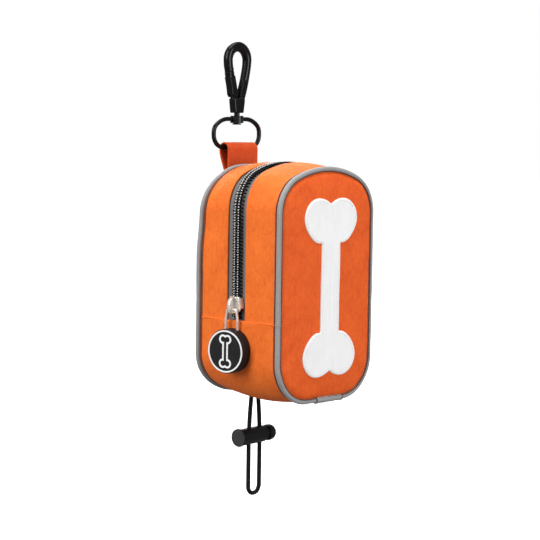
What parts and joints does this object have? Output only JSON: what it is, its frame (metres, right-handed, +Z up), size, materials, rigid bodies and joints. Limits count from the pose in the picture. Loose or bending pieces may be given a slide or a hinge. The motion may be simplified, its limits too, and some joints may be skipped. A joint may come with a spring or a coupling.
{
  "type": "treat pouch",
  "caption": "Small arch-topped zip pouch with padded panels and piping, hung from a swivel snap hook, with a disc zip pull and a toggled elastic cord loop.",
  "frame": {"origin": "top of the snap hook's inside, where the hook hangs on a bar", "axes": "+Z up along the hanging line, +X along the front panel, the front panel faces -Y, the zip's slider is on the -X side"},
  "size_m": [0.075, 0.0685, 0.2241],
  "materials": {
    "orange_fabric": "woven polyester with a faint tonal hexagon pattern",
    "grey_piping": "grey reflective piping tape",
    "filler_cord": "white filler cord, unseen",
    "grey_tape": "woven zip and binding tape",
    "black_coil": "nylon coil",
    "white_film": "smooth matt white coated fabric",
    "black_metal": "satin black coated die-cast zinc",
    "spring_steel": "bright spring steel",
    "pale_metal": "pale plated zinc",
    "black_rubber": "soft matt moulded rubber",
    "white_rubber": "white moulded rubber",
    "black_cord": "braided elastic cord",
    "black_plastic": "moulded acetal"
  },
  "bodies": {
    "hook": {"hook_body": "black_metal", "gate_pin": "spring_steel", "gate_spring": "spring_steel", "swivel_post": "black_metal"},
    "gate": {"gate": "black_metal"},
    "ring": {"swivel_ring": "black_metal"},
    "pouch": {"front_panel": "orange_fabric", "back_panel": "orange_fabric", "front_piping": "grey_piping", "back_piping": "grey_piping", "front_piping_core": "filler_cord", "back_piping_core": "filler_cord", "front_piping_join": "grey_piping", "zip_gusset_front": "orange_fabric", "zip_gusset_back": "orange_fabric", "base_gusset": "orange_fabric", "zip_tape_front": "grey_tape", "zip_tape_back": "grey_tape", "zip_coil_front": "black_coil", "zip_coil_back": "black_coil", "front_seam_binding": "grey_tape", "back_seam_binding": "grey_tape", "bone_applique": "white_film", "hang_strap": "orange_fabric", "cord_anchor_patch": "grey_tape", "drawcord": "black_cord"},
    "slider": {"zip_slider": "pale_metal"},
    "puller": {"pull_link": "pale_metal", "pull_disc": "black_rubber", "pull_disc_ring": "white_rubber", "pull_disc_bone": "white_rubber"},
    "toggle": {"toggle_barrel": "black_plastic", "toggle_spring": "spring_steel"},
    "plunger": {"toggle_plunger": "black_plastic"}
  },
  "joints": [
    {"name": "gate_hinge", "type": "hinge", "parent": "hook", "child": "gate", "pos_m": [-0.003, 0, -0.0204], "axis": [0, 1, 0], "range_deg": [0, 22], "stiffness_Nm_per_rad": 0.02, "springref_deg": -22.92, "deforming": ["gate_spring"]},
    {"name": "ring_swivel", "type": "hinge", "parent": "hook", "child": "ring", "pos_m": [0, 0, -0.033], "axis": [0, 0, 1], "continuous": true},
    {"name": "pouch_swing", "type": "hinge", "parent": "ring", "child": "pouch", "pos_m": [0, 0, -0.04675], "axis": [1, 0, 0], "range_deg": [-90, 90]},
    {"name": "slider_slide", "type": "slide", "parent": "pouch", "child": "slider", "axis": [0, 0, 1], "range_m": [0, 0.038]},
    {"name": "pull_hinge", "type": "hinge", "parent": "slider", "child": "puller", "pos_m": [-0.0354, -0.0339, -0.1225], "axis": [-0.1392, 0.9903, 0], "range_deg": [0, 150]},
    {"name": "toggle_slide", "type": "slide", "parent": "pouch", "child": "toggle", "axis": [0, 0, 1], "range_m": [-0.02, 0.012]},
    {"name": "plunger_press", "type": "slide", "parent": "toggle", "child": "plunger", "axis": [-0.9962, -0.0872, 0], "range_m": [0, 0.002], "stiffness_N_per_m": 600, "springref_m": -0.001, "deforming": ["toggle_spring"]}
  ]
}
